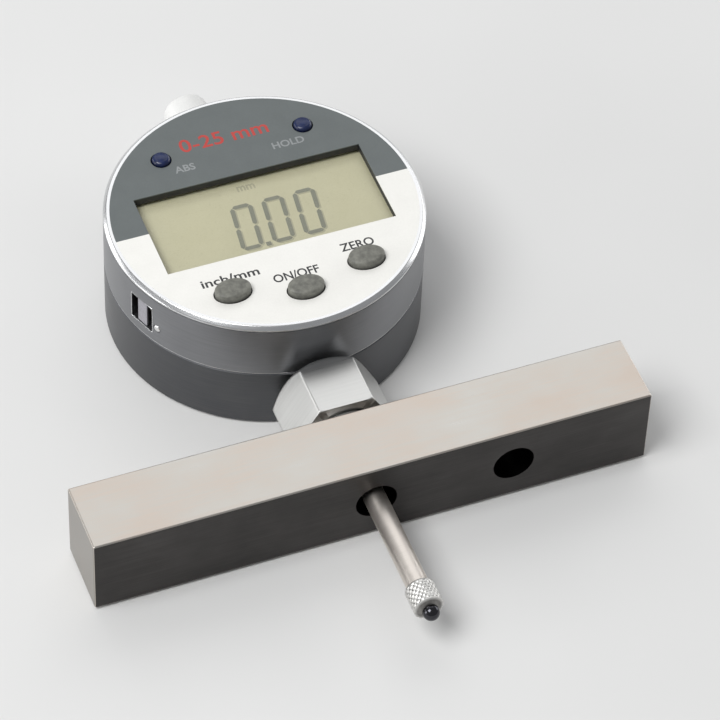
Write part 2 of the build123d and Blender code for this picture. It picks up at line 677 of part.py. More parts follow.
def display_panel():
    span = (HEAD_Y - GLASS_HALF_Y, HEAD_Y + GLASS_HALF_Y)
    return block((-GLASS_HALF_X, GLASS_HALF_X), span, (GLASS_BOTTOM + FOIL_THICK, GLASS_TOP))


def display_reflector():
    span = (HEAD_Y - FOIL_HALF_Y, HEAD_Y + FOIL_HALF_Y)
    return block((-GLASS_HALF_X + 1, GLASS_HALF_X - 1), span, (GLASS_BOTTOM, GLASS_BOTTOM + FOIL_THICK))


def contact_strips():
    """The two elastomer strips that join the display to the board."""
    half_x, half_y = ZEBRA_HALF
    strips = []
    for side in (-1, 1):
        middle = HEAD_Y + side * ZEBRA_Y
        span = (middle - half_y, middle + half_y)
        strips.append(block((-half_x, half_x), span, (BOARD_TOP, GLASS_BOTTOM + FOIL_THICK)))
    return strips


def main_board():
    board = disc(0, HEAD_Y, BOARD_R, BOARD_BOTTOM, BOARD_TOP)
    for angle in BOARD_SCREW_ANGLES:
        place = on_head(BOARD_SCREW_RADIUS, angle)
        board -= disc(*place, BOARD_SCREW_R + SLIP, BOARD_BOTTOM - PAST, BOARD_TOP + PAST)
    return board - port_cut(BOARD_BOTTOM - PAST, BOARD_TOP + PAST, SOCKET_WIDTH + 1, *BOARD_NOTCH)


def main_chip():
    half = MAIN_CHIP_HALF
    return block((-half, half), (HEAD_Y - half, HEAD_Y + half), (BOARD_TOP, BOARD_TOP + MAIN_CHIP_HEIGHT))


def board_screws():
    screws = []
    for angle in BOARD_SCREW_ANGLES:
        x, y = on_head(BOARD_SCREW_RADIUS, angle)
        screws.append(pan_screw(x, y, BOARD_BOTTOM, *BOARD_SCREW, upwards=-1))
    return screws


def dome_switches():
    """The snap domes under the five keys."""
    domes = []
    for x, y in list(OVAL_KEYS.values()) + list(ROUND_KEYS.values()):
        domes.append(disc(x, HEAD_Y + y, DOME_R, BOARD_TOP, DOME_TOP))
    return domes


def port_socket():
    """The data socket behind the side window: a body with a contact tongue between two slots."""
    body = port_cut(*SOCKET_Z, SOCKET_WIDTH, *SOCKET_REACH)
    body -= port_cut(*SLOT_Z, PORT_WIDTH - 2 * SLIP, SLOT_FLOOR, HEAD_R)
    body += port_cut(*TONGUE_Z, TONGUE_WIDTH, SLOT_FLOOR - CLEAR, TONGUE_END)
    return body - port_screw_space(PORT_SCREW_R - PORT_SCREW_STEP, PORT_SCREW_TIP, HEAD_R)


def port_contacts():
    """The flat contacts on both sides of the tongue."""
    contacts = []
    near = TONGUE_WIDTH / 2
    thick, tall = CONTACT_STRIP
    for side in (-1, 1):
        for level in CONTACT_STRIP_Z:
            across = sorted((side * near, side * (near + thick)))
            strip = block(CONTACT_STRIP_X, across, (level, level + tall))
            contacts.append(about_head(strip, PORT_ANGLE))
    return contacts


def oval_key(name):
    x, y = OVAL_KEYS[name]
    y += HEAD_Y
    key = oval(x, y, OVAL_HALF_X, OVAL_HALF_Y, KEY_FLANGE_BOTTOM, OVAL_KEY_TOP)
    key = fillet(key.edges().group_by(Axis.Z)[-1], OVAL_KEY_EDGE)
    half_x, half_y = OVAL_HALF_X + OVAL_FLANGE, OVAL_HALF_Y + OVAL_FLANGE
    key += oval(x, y, half_x, half_y, KEY_FLANGE_BOTTOM, KEY_FLANGE_TOP)
    return key + disc(x, y, OVAL_PEG_R, PEG_BOTTOM, KEY_FLANGE_BOTTOM)


def round_key(name):
    x, y = ROUND_KEYS[name]
    y += HEAD_Y
    key = disc(x, y, ROUND_KEY_R, KEY_FLANGE_BOTTOM, ROUND_KEY_TOP)
    key = fillet(key.edges().group_by(Axis.Z)[-1], ROUND_KEY_EDGE)
    key += disc(x, y, ROUND_KEY_R + ROUND_FLANGE, KEY_FLANGE_BOTTOM, KEY_FLANGE_TOP)
    return key + disc(x, y, ROUND_PEG_R, PEG_BOTTOM, KEY_FLANGE_BOTTOM)


# ---- the nodes ----------------------------------------------------------------------------------
def all_nodes():
    nodes = {
        "base_bar": base_bar(),
        "collet": collet(),
        "clamp_washer": clamp_washer(),
        "clamp_nut": clamp_nut(),
        "stem": stem(),
        "rear_housing": rear_housing(),
        "back_cover": back_cover(),
        "back_screws": back_screws(),
        "battery_cover": battery_cover(),
        "battery_seal": battery_seal(),
        "battery_cell": battery_cell(),
        "battery_holder": battery_holder(),
        "battery_springs": battery_springs(),
        "top_bush": top_bush(),
        "dust_cap": dust_cap(),
        "guide_pin": guide_pin(),
        "buffer_washer": buffer_washer(),
        "return_spring": return_spring(),
        "sensor_board": sensor_board(),
        "sensor_chip": sensor_chip(),
        "sensor_screws": sensor_screws(),
        "flex_cable": flex_cable(),
        "swivel_ring": swivel_ring(),
        "stop_pin": stop_pin(),
        "spindle": spindle(),
        "contact_point": contact_point(),
        "contact_ball": contact_ball(),
        "scale_carrier": scale_carrier(),
        "carrier_screw": carrier_screw(),
        "scale_strip": scale_strip(),
        "front_housing": front_housing(),
        "bezel_ring": bezel_ring(),
        "face_plate": face_plate(),
        "face_label_upper": face_label(True),
        "face_label_lower": face_label(False),
        "window_pane": window_pane(),
        "display_panel": display_panel(),
        "display_reflector": display_reflector(),
        "contact_strips": contact_strips(),
        "main_board": main_board(),
        "main_chip": main_chip(),
        "board_screws": board_screws(),
        "dome_switches": dome_switches(),
        "port_socket": port_socket(),
        "port_screw": port_screw(),
        "port_contacts": port_contacts(),
    }
    for name, (low, high) in STEM_BUSHES.items():
        nodes[name] = stem_bush(low, high)
    for name in OVAL_KEYS:
        nodes[name] = oval_key(name)
    for name in ROUND_KEYS:
        nodes[name] = round_key(name)
    return nodes


os.makedirs("parts", exist_ok=True)
for node, shape in all_nodes().items():
    solids = shape if isinstance(shape, list) else [shape]
    pieces = [solid for item in solids for solid in item.solids()]
    whole = pieces[0] if len(pieces) == 1 else Compound(children=pieces)
    export_step(whole, os.path.join("parts", node + ".step"))
    print(node, len(pieces), round(sum(piece.volume for piece in pieces), 2))
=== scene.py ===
import json
import math

import bmesh
import bpy
import numpy as np
from mathutils import Matrix, Vector


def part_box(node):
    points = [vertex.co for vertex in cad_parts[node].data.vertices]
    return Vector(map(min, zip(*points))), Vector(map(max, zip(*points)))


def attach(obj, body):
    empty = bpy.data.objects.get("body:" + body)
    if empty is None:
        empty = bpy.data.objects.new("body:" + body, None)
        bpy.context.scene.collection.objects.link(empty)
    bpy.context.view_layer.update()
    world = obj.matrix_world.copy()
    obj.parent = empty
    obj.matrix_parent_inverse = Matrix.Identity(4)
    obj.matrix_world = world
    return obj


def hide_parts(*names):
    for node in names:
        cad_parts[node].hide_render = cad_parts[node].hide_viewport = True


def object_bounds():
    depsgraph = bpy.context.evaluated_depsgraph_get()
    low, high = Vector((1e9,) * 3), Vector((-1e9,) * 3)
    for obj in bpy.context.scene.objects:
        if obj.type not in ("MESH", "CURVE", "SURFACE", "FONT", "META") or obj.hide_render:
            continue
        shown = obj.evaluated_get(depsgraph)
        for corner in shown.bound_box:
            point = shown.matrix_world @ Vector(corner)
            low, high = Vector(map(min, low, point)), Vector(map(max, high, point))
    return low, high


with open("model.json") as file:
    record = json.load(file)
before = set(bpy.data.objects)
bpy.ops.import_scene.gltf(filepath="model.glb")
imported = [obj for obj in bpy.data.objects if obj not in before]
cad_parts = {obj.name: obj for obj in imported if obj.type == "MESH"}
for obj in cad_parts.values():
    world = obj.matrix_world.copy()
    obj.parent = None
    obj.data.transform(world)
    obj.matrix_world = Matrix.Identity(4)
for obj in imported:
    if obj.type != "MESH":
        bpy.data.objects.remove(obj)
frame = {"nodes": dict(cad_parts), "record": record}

CAD_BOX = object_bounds()
MM = 0.001
NODES = frame["nodes"]

# ---- places read from the frame ------------------------------------------------------------------
RIM_LOW, RIM_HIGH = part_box("bezel_ring")
HEAD_X = (RIM_LOW.x + RIM_HIGH.x) / 2
HEAD_Y = (RIM_LOW.y + RIM_HIGH.y) / 2
HEAD_R = (RIM_HIGH.x - RIM_LOW.x) / 2
FACE_Z = RIM_HIGH.z
LABEL_R = (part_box("face_label_lower")[1].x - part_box("face_label_lower")[0].x) / 2
BAR_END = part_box("base_bar")[1].x
BACK_Z = CAD_BOX[0].z

# ---- the bar: how deep the painted reflection on its measuring face, its ends' colour and the painted shade on its holes' walls go in ---
LAPPED_DEPTH = 0.06 * MM
END_DEPTH = 0.1 * MM
END_FULL = 0.03 * MM
HOLE_R = 3.75 * MM
HOLE_FULL = 0.01 * MM
HOLE_DEPTH = 0.05 * MM
OFFSET_HOLE_X = 25.4 * MM

# ---- the face's rim: an outside step at its foot, a bevel, and the radii of its edges ------------
RIM_STEP = 0.15 * MM
RIM_BEVEL = 0.62 * MM
RIM_SIDE_ROUND = 0.04 * MM
RIM_OUTER_ROUND = 0.28 * MM
RIM_INNER_ROUND = 0.3 * MM

# ---- the keys: half sizes along X and Y, the radius of the top edge, and the crown's rise --------
KEY_HALVES = {"key_grey": (3.3 * MM, 2.3 * MM), "key_navy": (1.7 * MM, 1.7 * MM)}
KEY_EDGE = {"key_grey": 0.55 * MM, "key_navy": 0.75 * MM}
KEY_CROWN = {"key_grey": 0.18 * MM, "key_navy": 0.15 * MM}
KEY_SUNK = 1.2 * MM
# How high above the face the painted shade on a key's side reaches.
KEY_SHADE_HEIGHT = 0.9 * MM

# ---- the clamp nut: its cone at the head's end, its chamfer, its bore and its soft edges ---------
NUT_CONE_Y = 25.2 * MM
NUT_COLLAR_R = 7.6 * MM
NUT_CHAMFER = 0.35 * MM
NUT_CHAMFER_SLOPE = 2.0
NUT_BORE_R = 4.3 * MM
COLLET_R = 6.04 * MM
NUT_CORNER_ROUND = 0.06 * MM
NUT_CONE_ROUND = 0.05 * MM
NUT_LEAST_COSINE = 0.2

# ---- the contact: its cone round the ball, greyer with painted shade, and its knurled grip -------
CONE_HEIGHT = 0.75 * MM
# The share of the cone's height that is fully greyed with painted shade.
CONE_SHADE_SHARE = 0.75
CONE_TIP_R = 1.2 * MM
CONE_LEDGE = 0.5 * MM
CONE_LIP = 0.15 * MM
GRIP_SHOULDER = 0.65 * MM
GRIP_OVERLAP = 0.01 * MM
KNURL_TEETH = 16
KNURL_DEPTH = 0.11 * MM
KNURL_SHARPNESS = 0.6
KNURL_START = 0.02 * MM
KNURL_RUN_OUT = 0.3 * MM
KNURL_OVER_SHOULDER = 0.2 * MM
KNURL_COLUMNS = 320

# ---- the cap over the spindle's free end: its finger groove, edges and roof ----------------------
CAP_GROOVE_Y = 2.2 * MM
CAP_GROOVE_DEPTH = 0.3 * MM
CAP_GROOVE_FLAT_END = 1.1 * MM
CAP_GROOVE_END = 1.4 * MM
CAP_FOOT_ROUND = 0.2 * MM
CAP_GROOVE_ROUND = 0.1 * MM
CAP_END_ROUND = 0.8 * MM
CAP_ROOF = 1.2 * MM

# ---- the data port, its lip and its screw, and the seam's edge; angles are in degrees ------------
PORT_ANGLE = 201.5
PORT_WIDTH = 5.6 * MM
PORT_LOW = 6.7 * MM
PORT_HIGH = 12.7 * MM
PORT_CORNER = 0.25 * MM
LIP_R = 0.11 * MM
SOCKET_END = 28.3 * MM
# Deeper than the first depth from the socket's end its slots carry painted shade; from the second depth
# outwards they are pale.
SOCKET_SHADE_DEPTH = 0.25 * MM
SOCKET_PALE_DEPTH = 0.15 * MM
PORT_SCREW_ANGLE = 209.2
PORT_SCREW_Z = 8.4 * MM
PORT_SCREW_R = 0.72 * MM
PORT_SCREW_RISE = 0.32 * MM
PORT_SCREW_SUNK = 0.1 * MM
PORT_SHANK_R = 0.45 * MM
PORT_SHANK_END = 2.5 * MM
PORT_SHANK_START = 0.4 * MM
SEAM_RING_R = 0.12 * MM


# ---- numpy surfaces ------------------------------------------------------------------------------
# Points nearer than the first length are merged and edges shorter than the second dissolved, in metres.
MERGE_DISTANCE = 1e-7
EDGE_LEAST = 1e-8
ROUND_COLUMNS = 256
NUT_COLUMNS = 360


def make_piece(name, points, quads, body, material, replaced=(), smooth=35.0):
    """Puts a point array and a face array into a mesh at the origin, merges doubles, shades it smooth
    up to an edge angle in degrees, and gives it its body and material."""
    mesh = bpy.data.meshes.new(name)
    mesh.from_pydata(np.asarray(points, float).reshape(-1, 3), [], np.asarray(quads))
    mesh.update()
    work = bmesh.new()
    work.from_mesh(mesh)
    bmesh.ops.remove_doubles(work, verts=work.verts, dist=MERGE_DISTANCE)
    bmesh.ops.dissolve_degenerate(work, edges=work.edges, dist=EDGE_LEAST)
    bmesh.ops.recalc_face_normals(work, faces=work.faces)
    work.to_mesh(mesh)
    work.free()
    mesh.shade_smooth()
    mesh.set_sharp_from_angle(angle=math.radians(smooth))
    piece = bpy.data.objects.new(name, mesh)
    bpy.context.scene.collection.objects.link(piece)
    mesh.materials.append(material)
    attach(piece, body)
    if replaced:
        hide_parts(*replaced)


def grid_quads(rows, columns, wrap_rows):
    """The quads of a grid of points numbered row by row. Its last column joins its first, and where the rows
    wrap, its last row joins its first too."""
    row = np.arange(rows if wrap_rows else rows - 1)
    r, c = np.meshgrid(row, np.arange(columns), indexing="ij")
    r2 = (r + 1) % rows
    c2 = (c + 1) % columns
    corners = [r * columns + c, r * columns + c2, r2 * columns + c2, r2 * columns + c]
    return np.stack(corners, -1).reshape(-1, 4)


def rounded(corners, radii, steps=5):
    """A closed outline through 2-D corners: each corner is replaced by an arc that is tangent to both
    of its sides, of its own radius, sampled evenly in angle."""
    corners = np.asarray(corners, float)
    outline = []
    for index, corner in enumerate(corners):
        radius = radii[index]
        if radius <= 0:
            outline.append(corner[None, :])
            continue
        before = corners[index - 1] - corner
        after = corners[(index + 1) % len(corners)] - corner
        before /= np.linalg.norm(before)
        after /= np.linalg.norm(after)
        half = math.acos(np.clip(before @ after, -1, 1)) / 2
        middle = (before + after) / np.linalg.norm(before + after)
        centre = corner + middle * radius / math.sin(half)
        start = corner + before * radius / math.tan(half) - centre
        end = corner + after * radius / math.tan(half) - centre
        a0 = math.atan2(start[1], start[0])
        turn = (math.atan2(end[1], end[0]) - a0 + math.pi) % (2 * math.pi) - math.pi
        angle = a0 + turn * np.linspace(0, 1, steps)
        outline.append(centre + radius * np.stack([np.cos(angle), np.sin(angle)], -1))
    return np.concatenate(outline)


def revolved(profile, turns, centre, axis="z"):
    """Points of a profile of (radius, height) rows turned about an axis parallel to Z or Y: each point is
    the centre plus radius times the direction of the angle, plus its height along the axis."""
    angle = np.linspace(0, 2 * math.pi, turns, endpoint=False)
    r, a = np.meshgrid(profile[:, 0], angle, indexing="ij")
    h = np.repeat(profile[:, 1][:, None], turns, 1)
    if axis == "z":
        return np.stack([centre[0] + r * np.cos(a), centre[1] + r * np.sin(a), h], -1)
    return np.stack([centre[0] + r * np.sin(a), h, centre[1] + r * np.cos(a)], -1)


# ---- materials -----------------------------------------------------------------------------------
# Nearly all of a noise texture's values lie between these two.
NOISE_LOW = 0.3
NOISE_HIGH = 0.7


def linear(hex_colour):
    """An sRGB hex colour as linear RGBA."""
    value = np.array([int(hex_colour[i:i + 2], 16) / 255 for i in (1, 3, 5)])
    value = np.where(value <= 0.04045, value / 12.92, ((value + 0.055) / 1.055) ** 2.4)
    return (*value, 1.0)


def add(tree, kind, links=(), **settings):
    """Adds a node with its settings, where a name in lower case is a property and a name with a capital
    is an input, and its links, given as (input name, node, output name)."""
    node = tree.nodes.new(kind)
    for name, value in settings.items():
        if name[0].isupper():
            node.inputs[name.replace("_", " ")].default_value = value
        else:
            setattr(node, name, value)
    for target, source, output in links:
        tree.links.new(source.outputs[output], node.inputs[target])
    return node


def ramp(tree, source, output, stops):
    """A colour ramp on a node's output, from (position, hex colour) stops."""
    node = add(tree, "ShaderNodeValToRGB", [("Fac", source, output)])
    elements = node.color_ramp.elements
    while len(elements) < len(stops):
        elements.new(0.5)
    for element, (position, colour) in zip(elements, stops):
        element.position = position
        element.color = linear(colour)
    return node


def new_material(name, **shader):
    """A material with one Principled shader, whose plain values are set on its own sockets."""
    material = bpy.data.materials.new(name)
    material.use_nodes = True
    tree = material.node_tree
    tree.nodes.clear()
    output = tree.nodes.new("ShaderNodeOutputMaterial")
    surface = add(tree, "ShaderNodeBsdfPrincipled", **shader)
    tree.links.new(surface.outputs["BSDF"], output.inputs["Surface"])
    return material, tree, surface


def place(tree, scale=(1, 1, 1), location=(0, 0, 0)):
    """Object coordinates, scaled and moved."""
    coordinate = add(tree, "ShaderNodeTexCoord")
    mapping = add(tree, "ShaderNodeMapping", [("Vector", coordinate, "Object")], vector_type="POINT")
    mapping.inputs["Scale"].default_value = scale
    mapping.inputs["Location"].default_value = location
    return mapping


def noise(tree, where, size_mm, detail=2.0, rough=0.5):
    """Noise whose features are about size_mm across."""
    node = add(tree, "ShaderNodeTexNoise", [("Vector", where, "Vector")], Detail=detail, Roughness=rough)
    node.inputs["Scale"].default_value = 1.0 / (size_mm * MM)
    return node


def near_value(tree, source, output, inner, outer):
    """0 where a value is under inner, 1 where it is over outer, and a ramp between."""
    node = add(tree, "ShaderNodeMapRange", [("Value", source, output)])
    node.inputs["From Min"].default_value = inner
    node.inputs["From Max"].default_value = outer
    return node


def colour_from(tree, surface, source, output, stops):
    """The shader's base colour from a node's output through a colour ramp."""
    node = ramp(tree, source, output, stops)
    tree.links.new(node.outputs["Color"], surface.inputs["Base Color"])


def roughness_from(tree, surface, source, output, low, high):
    """The shader's roughness from low to high, as a noise runs over its usual range."""
    node = near_value(tree, source, output, NOISE_LOW, NOISE_HIGH)
    node.inputs["To Min"].default_value = low
    node.inputs["To Max"].default_value = high
    tree.links.new(node.outputs["Result"], surface.inputs["Roughness"])


def bump_from(tree, surface, source, output, depth_mm, strength):
    """The shader's normal from a node's output as a height of at most depth_mm."""
    node = add(tree, "ShaderNodeBump", [("Height", source, output)], Strength=strength)
    node.inputs["Distance"].default_value = depth_mm * MM
    tree.links.new(node.outputs["Normal"], surface.inputs["Normal"])


def grooves(tree, direction, pitch_mm, stretch=0.015):
    """Noise drawn out into lines: direction has 1 along each axis that crosses the lines."""
    scale = tuple(stretch if value == 0 else 1.0 for value in direction)
    return noise(tree, place(tree, scale=scale), pitch_mm, 3.0, 0.6)


def blended(tree, factor, output, first, second):
    """One colour where the factor is 0 and another where it is 1."""
    links = [("Fac", factor, output), ("Color1", first, "Color"), ("Color2", second, "Color")]
    return add(tree, "ShaderNodeMixRGB", links)


def hole_distance(tree, hole_x):
    """The distance from a hole's axis, which is parallel to Y."""
    centred = place(tree, scale=(1, 0, 1), location=(-hole_x, 0, 0))
    return add(tree, "ShaderNodeVectorMath", [("Vector", centred, "Vector")], operation="LENGTH")


def ground_steel():
    """Hardened tool steel, surface-ground along its length, so its scratches all run one way and blur the
    gloss across them. The top is pale with faint warm tarnish; the measuring face, finished by lapping, is
    darker with a painted reflection of dark surroundings, the ends are duller, and the holes' walls are near
    black with painted shade.
    Real grinding marks are 0.05 mm apart; they are drawn 0.2 mm apart to show."""
    material, tree, surface = new_material("ground_tool_steel", Metallic=1.0, Roughness=0.3)
    scratches = grooves(tree, (0, 1, 1), 0.2, 0.012)
    patches = noise(tree, place(tree, scale=(0.6, 1, 1)), 9.0, 4.0, 0.6)
    mixed = add(tree, "ShaderNodeMixRGB", [("Color1", scratches, "Fac"), ("Color2", patches, "Fac")], Fac=0.6)
    tarnish = [(0.34, "#BDBBB6"), (0.47, "#BFBAB3"), (0.56, "#C3BAB1"), (0.68, "#C6BAAF")]
    bright = ramp(tree, mixed, "Color", tarnish)
    # The measuring face's dark colour is a painted reflection of dark surroundings.
    lapped_reflection = ramp(tree, mixed, "Color", [(0.34, "#3D3C3B"), (0.5, "#464443"), (0.66, "#4F4D4C")])
    dull = ramp(tree, mixed, "Color", [(0.34, "#918D87"), (0.66, "#A29D97")])
    # The near black on the drilled holes' walls is painted shade.
    painted_shade = ramp(tree, mixed, "Color", [(0.34, "#1B1A18"), (0.66, "#2A2826")])
    spot = add(tree, "ShaderNodeSeparateXYZ", [("Vector", place(tree), "Vector")])
    reach = add(tree, "ShaderNodeMath", [(0, spot, "X")], operation="ABSOLUTE")
    end = near_value(tree, reach, "Value", BAR_END - END_DEPTH, BAR_END - END_FULL)
    front = near_value(tree, spot, "Y", LAPPED_DEPTH * 0.5, LAPPED_DEPTH)
    first = hole_distance(tree, HEAD_X)
    second = hole_distance(tree, OFFSET_HOLE_X)
    nearest = add(tree, "ShaderNodeMath", [(0, first, "Value"), (1, second, "Value")], operation="MINIMUM")
    outside = near_value(tree, nearest, "Value", HOLE_R + HOLE_FULL, HOLE_R + HOLE_DEPTH)
    colour = blended(tree, end, "Result", bright, dull)
    colour = blended(tree, front, "Result", lapped_reflection, colour)
    colour = blended(tree, outside, "Result", painted_shade, colour)
    tree.links.new(colour.outputs["Color"], surface.inputs["Base Color"])
    roughness_from(tree, surface, mixed, "Color", 0.27, 0.38)
    bump_from(tree, surface, scratches, "Fac", 0.005, 0.3)
    return material


def turned_steel(name, dark, light, rough, axis=1, pitch_mm=0.15, depth_mm=0.002):
    """Metal turned in a lathe: fine rings round its axis (1 is Y, 2 is Z), which spread the gloss along it.
    Real feed marks are finer; they are drawn pitch_mm apart to show."""
    material, tree, surface = new_material(name, Metallic=1.0, Roughness=rough)
    rings = grooves(tree, tuple(1 if index == axis else 0 for index in range(3)), pitch_mm)
    cloud = noise(tree, place(tree), 9.0, 3.0)
    mixed = add(tree, "ShaderNodeMixRGB", [("Color1", rings, "Fac"), ("Color2", cloud, "Fac")], Fac=0.4)
    colour_from(tree, surface, mixed, "Color", [(0.35, dark), (0.65, light)])
    roughness_from(tree, surface, mixed, "Color", rough * 0.85, rough * 1.2)
    bump_from(tree, surface, rings, "Fac", depth_mm, 0.3)
    return material


def moulded_plastic(name, dark, light, rough, grain_mm=0.25, depth_mm=0.01):
    """Injection-moulded plastic: one colour with a faint cloudiness and a fine spark-eroded grain."""
    material, tree, surface = new_material(name, Roughness=rough, IOR=1.5)
    cloud = noise(tree, place(tree), 4.0, 3.0)
    grain = noise(tree, place(tree), grain_mm, 2.0)
    mixed = add(tree, "ShaderNodeMixRGB", [("Color1", cloud, "Fac"), ("Color2", grain, "Fac")], Fac=0.5)
    colour_from(tree, surface, mixed, "Color", [(0.35, dark), (0.65, light)])
    roughness_from(tree, surface, grain, "Fac", rough * 0.9, rough * 1.15)
    bump_from(tree, surface, grain, "Fac", depth_mm, 0.4)
    return material


def key_plastic(name, dark, light, foot, rough):
    """Injection-moulded key: a grained top, and a darker foot, painted shade where its side meets the face.
    """
    material, tree, surface = new_material(name, Roughness=rough, IOR=1.5)
    cloud = noise(tree, place(tree), 1.4, 3.0, 0.65)
    grain = noise(tree, place(tree), 0.4, 2.0)
    top = ramp(tree, cloud, "Fac", [(0.35, dark), (0.65, light)])
    # The low ramp is painted shade near the face.
    low = ramp(tree, cloud, "Fac", [(0.3, foot), (0.8, dark)])
    spot = add(tree, "ShaderNodeSeparateXYZ", [("Vector", place(tree), "Vector")])
    height = near_value(tree, spot, "Z", FACE_Z, FACE_Z + KEY_SHADE_HEIGHT)
    colour = blended(tree, height, "Result", low, top)
    tree.links.new(colour.outputs["Color"], surface.inputs["Base Color"])
    roughness_from(tree, surface, grain, "Fac", rough * 0.9, rough * 1.15)
    bump_from(tree, surface, grain, "Fac", 0.014, 0.4)
    return material


def knurled_steel():
    """Hardened steel: bright on the knurled grip, and greyer on the cone round the ball, with painted shade
    for the shadow under the contact.
    """
    material, tree, surface = new_material("knurled_steel", Metallic=1.0, Roughness=0.38)
    cloud = noise(tree, place(tree), 1.2, 3.0)
    grip = ramp(tree, cloud, "Fac", [(0.35, "#D0CFCC"), (0.65, "#DEDDDA")])
    # The greyer ramp on the cone is painted shade.
    painted_shade = ramp(tree, cloud, "Fac", [(0.35, "#6C6A68"), (0.65, "#8E8C89")])
    spot = add(tree, "ShaderNodeSeparateXYZ", [("Vector", place(tree), "Vector")])
    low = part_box("contact_point")[0].y
    height = near_value(tree, spot, "Y", low + CONE_HEIGHT * CONE_SHADE_SHARE, low + CONE_HEIGHT)
    colour = blended(tree, height, "Result", painted_shade, grip)
    tree.links.new(colour.outputs["Color"], surface.inputs["Base Color"])
    roughness_from(tree, surface, cloud, "Fac", 0.32, 0.45)
    bump_from(tree, surface, noise(tree, place(tree), 0.25, 2.0), "Fac", 0.004, 0.4)
    return material


def socket_plastic():
    """Grey moulded nylon: its end face is pale, and the slots beside it are near black with painted shade,
    where the port's recess lies in shadow.
    """
    material, tree, surface = new_material("moulded_grey_nylon", Roughness=0.45, IOR=1.5)
    grain = noise(tree, place(tree), 0.4, 2.0)
    pale = ramp(tree, grain, "Fac", [(0.3, "#8E8D93"), (0.7, "#A09FA5")])
    # Painted shade: near black in the slots of the port's recess.
    shaded_slots = ramp(tree, grain, "Fac", [(0.3, "#161617"), (0.7, "#202021")])
    centred = place(tree, scale=(1, 1, 0), location=(-HEAD_X, -HEAD_Y, 0))
    reach = add(tree, "ShaderNodeVectorMath", [("Vector", centred, "Vector")], operation="LENGTH")
    shaded_to = SOCKET_END - SOCKET_SHADE_DEPTH
    outer = near_value(tree, reach, "Value", shaded_to, SOCKET_END - SOCKET_PALE_DEPTH)
    colour = blended(tree, outer, "Result", shaded_slots, pale)
    tree.links.new(colour.outputs["Color"], surface.inputs["Base Color"])
    bump_from(tree, surface, grain, "Fac", 0.006, 0.3)
    return material


def clear_pane():
    """The clear acrylic window over the display: nearly all light goes through, and the rest glances off."""
    material = bpy.data.materials.new("clear_acrylic")
    material.use_nodes = True
    tree = material.node_tree
    tree.nodes.clear()
    through = add(tree, "ShaderNodeBsdfTransparent", Color=linear("#F8F7F2"))
    gloss = add(tree, "ShaderNodeBsdfGlossy", Roughness=0.06)
    edge = add(tree, "ShaderNodeFresnel", IOR=1.3)
    mix = add(tree, "ShaderNodeMixShader", [("Fac", edge, "Fac")])
    tree.links.new(through.outputs[0], mix.inputs[1])
    tree.links.new(gloss.outputs[0], mix.inputs[2])
    output = tree.nodes.new("ShaderNodeOutputMaterial")
    tree.links.new(mix.outputs[0], output.inputs["Surface"])
    return material


# The material of each slot. A turned metal or a moulded plastic is given by its name, its darker and its
# lighter colour and its roughness, and then by the size and the depth of its grain where they differ.
MATERIALS = {
    "ground_steel": ground_steel(),
    "bright_steel": turned_steel("turned_bright_steel", "#A9A8A6", "#C4C3C1", 0.28),
    "chrome_plate": turned_steel("satin_chrome_plate", "#C4C4C2", "#CDCDCB", 0.3, 1, 0.4, 0.0006),
    "bronze": turned_steel("turned_bronze", "#9A7645", "#B48E58", 0.35),
    "housing_alloy": turned_steel("dark_turned_aluminium", "#57585B", "#636466", 0.38, axis=2),
    "display_alloy": turned_steel("satin_turned_aluminium", "#828386", "#8F9093", 0.36, axis=2),
    "screw_steel": turned_steel("plated_screw_steel", "#D8D8D8", "#E6E6E6", 0.25, axis=2),
    "grey_plastic": moulded_plastic("moulded_grey_abs", "#5A5C5F", "#66686B", 0.5),
    "black_rubber": moulded_plastic("nitrile_rubber", "#141414", "#1E1E1E", 0.7),
    "cell_steel": turned_steel("plated_cell_can", "#BDBDBD", "#D2D2D2", 0.2, axis=2),
    "black_plastic": moulded_plastic("moulded_black_abs", "#1F2022", "#292B2D", 0.5),
    "spring_steel": turned_steel("drawn_spring_steel", "#9C9C9E", "#B2B2B4", 0.3),
    "pale_plastic": moulded_plastic("moulded_pale_nylon", "#D8D8D6", "#E2E2E0", 0.4),
    "board_green": moulded_plastic("solder_mask", "#1B4A2A", "#235A34", 0.35),
    "flex_film": moulded_plastic("polyimide_film", "#9A5E1C", "#AE6E26", 0.3),
    "spindle_steel": turned_steel("ground_stainless_steel", "#DCD5CD", "#E6DFD8", 0.4),
    "contact_steel": knurled_steel(),
    "ball_carbide": turned_steel("lapped_carbide", "#3A3A3E", "#4C4C50", 0.12),
    "aluminium": turned_steel("milled_aluminium", "#A4A5A7", "#B8B9BB", 0.35),
    "rim_white": turned_steel("bright_turned_rim", "#D4D5D6", "#DEDFE0", 0.22, axis=2),
    "label_grey": moulded_plastic("dark_polycarbonate_label", "#5A6060", "#606666", 0.42, 0.3, 0.003),
    "label_white": moulded_plastic("white_polycarbonate_label", "#E6E5E0", "#EBEAE5", 0.42, 0.3, 0.003),
    "clear_glass": clear_pane(),
    "display_beige": moulded_plastic("liquid_crystal_cell", "#D0CFBB", "#D5D4C1", 0.3, 0.4, 0.001),
    "reflector_foil": turned_steel("reflector_foil", "#C4C4C0", "#D2D2CE", 0.3),
    "socket_grey": socket_plastic(),
    "gold_brass": turned_steel("tarnished_contact_brass", "#4A4034", "#5C5142", 0.3),
    # A key's third colour is the painted shade at its foot.
    "key_grey": key_plastic("moulded_olive_grey_key", "#5E5E58", "#7C7C74", "#3E3E3A", 0.5),
    "key_navy": key_plastic("moulded_navy_key", "#0C1A42", "#142654", "#080E24", 0.3),
}


def finish_cad_nodes():
    """Every CAD node gets the material of its slot."""
    for row in frame["record"]["subparts"]:
        node = NODES[row["node"]]
        node.data.materials.clear()
        node.data.materials.append(MATERIALS[row["material_slot"]])


